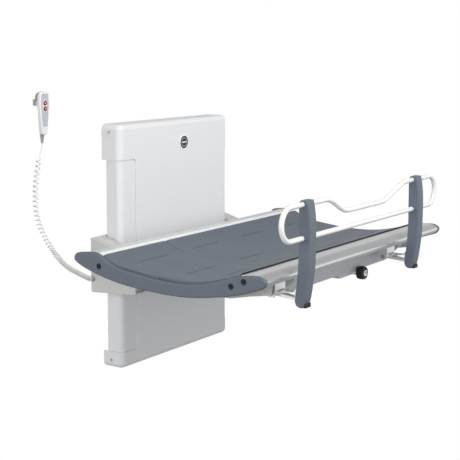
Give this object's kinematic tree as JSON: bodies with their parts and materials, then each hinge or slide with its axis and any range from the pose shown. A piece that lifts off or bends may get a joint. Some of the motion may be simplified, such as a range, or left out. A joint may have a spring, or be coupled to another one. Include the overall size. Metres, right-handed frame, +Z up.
{
  "type": "changing table",
  "caption": "Wall-mounted, height-adjustable changing table with a dished lying surface, a fold-down tube guard, a lift column and a corded handset.",
  "frame": {"origin": "centre of the wall bolt pattern on the column's back face", "axes": "+Y into the wall, +X along the wall and along the table, +Z up"},
  "size_m": [1.3961, 1.004, 1.065],
  "materials": {
    "cover_white": "satin moulded ABS",
    "zinc_steel": "zinc plated steel",
    "screw_steel": "rolled screw steel",
    "bronze": "machined bronze",
    "aluminium_bare": "anodised aluminium",
    "arm_grey_paint": "light grey powder coat",
    "motor_paint": "black paint",
    "slate_plastic": "slate grey moulded plastic",
    "mat_plastic": "blue-grey moulded plastic",
    "tray_grey": "light grey plastic",
    "black_rubber": "black rubber",
    "black_plastic": "black ABS",
    "white_powder_coat": "white powder coat on aluminium tube",
    "handset_blue": "pale blue-grey film",
    "button_red": "red silicone",
    "board_green": "circuit board",
    "cord_white": "white PVC",
    "relief_grey": "grey flexible PVC"
  },
  "bodies": {
    "root": {"back_plate": "zinc_steel", "top_bracket": "zinc_steel", "bottom_bracket": "zinc_steel", "guide_rail_left": "aluminium_bare", "guide_rail_right": "aluminium_bare", "lead_screw": "screw_steel", "end_stops": "black_rubber", "front_cover": "cover_white", "side_cover_left": "cover_white", "side_cover_right": "cover_white", "badge": "black_rubber", "cover_screws": "zinc_steel", "handset_front": "cover_white", "handset_back": "cover_white", "handset_panel": "handset_blue", "handset_board": "board_green", "handset_holder": "cover_white", "handset_hook": "relief_grey", "strain_relief": "relief_grey", "cord_lead": "cord_white", "cord_coil": "cord_white"},
    "carriage": {"carriage_plate": "arm_grey_paint", "slide_blocks": "black_rubber", "gearbox": "aluminium_bare", "motor": "motor_paint", "control_box": "black_plastic", "arm_left": "arm_grey_paint", "arm_right": "arm_grey_paint", "arm_cover_left": "arm_grey_paint", "arm_cover_right": "arm_grey_paint", "hinge_pins": "zinc_steel", "fold_stops": "arm_grey_paint", "cord_gland": "relief_grey"},
    "drive_nut": {"drive_nut": "bronze"},
    "table": {"hinge_beam_left": "arm_grey_paint", "hinge_beam_right": "arm_grey_paint", "cross_members": "aluminium_bare", "side_plate_left": "arm_grey_paint", "side_plate_right": "arm_grey_paint", "rear_rail": "aluminium_bare", "rear_trim": "white_powder_coat", "front_rail": "aluminium_bare", "end_cap_left": "slate_plastic", "end_cap_right": "slate_plastic", "end_cap_screws": "black_plastic", "mat_near": "mat_plastic", "mat_far": "mat_plastic", "mat_seal": "black_rubber", "water_tray": "tray_grey", "drain_pipe": "cover_white", "drain_union_nut": "black_rubber", "guard_brackets": "aluminium_bare", "guard_pins": "zinc_steel"},
    "guard": {"guard_arm_left": "aluminium_bare", "guard_arm_right": "aluminium_bare", "guard_post_left": "slate_plastic", "guard_post_right": "slate_plastic", "guard_tube": "white_powder_coat", "post_feet": "black_rubber"},
    "button_up": {"button_up": "button_red"},
    "button_down": {"button_down": "button_red"}
  },
  "joints": [
    {"name": "lift", "type": "slide", "parent": "root", "child": "carriage", "axis": [0, 0, 1], "range_m": [-0.235, 0.285], "deforming": ["cord_coil"]},
    {"name": "nut_spin", "type": "hinge", "parent": "carriage", "child": "drive_nut", "pos_m": [0, -0.045, -0.06], "axis": [0, 0, 1], "continuous": true},
    {"name": "table_fold", "type": "hinge", "parent": "carriage", "child": "table", "pos_m": [0, -0.2, -0.034], "axis": [-1, 0, 0], "range_deg": [0, 90]},
    {"name": "guard_swing", "type": "hinge", "parent": "table", "child": "guard", "pos_m": [0, -0.868, -0.042], "axis": [1, 0, 0], "range_deg": [0, 110]},
    {"name": "press_up", "type": "slide", "parent": "root", "child": "button_up", "axis": [0, 1, 0], "range_m": [0, 0.0012], "stiffness_N_per_m": 1500},
    {"name": "press_down", "type": "slide", "parent": "root", "child": "button_down", "axis": [0, 1, 0], "range_m": [0, 0.0012], "stiffness_N_per_m": 1500}
  ],
  "couplings": [
    {"joint": "nut_spin", "follows": "lift", "rad_per_m": 1256.6}
  ]
}
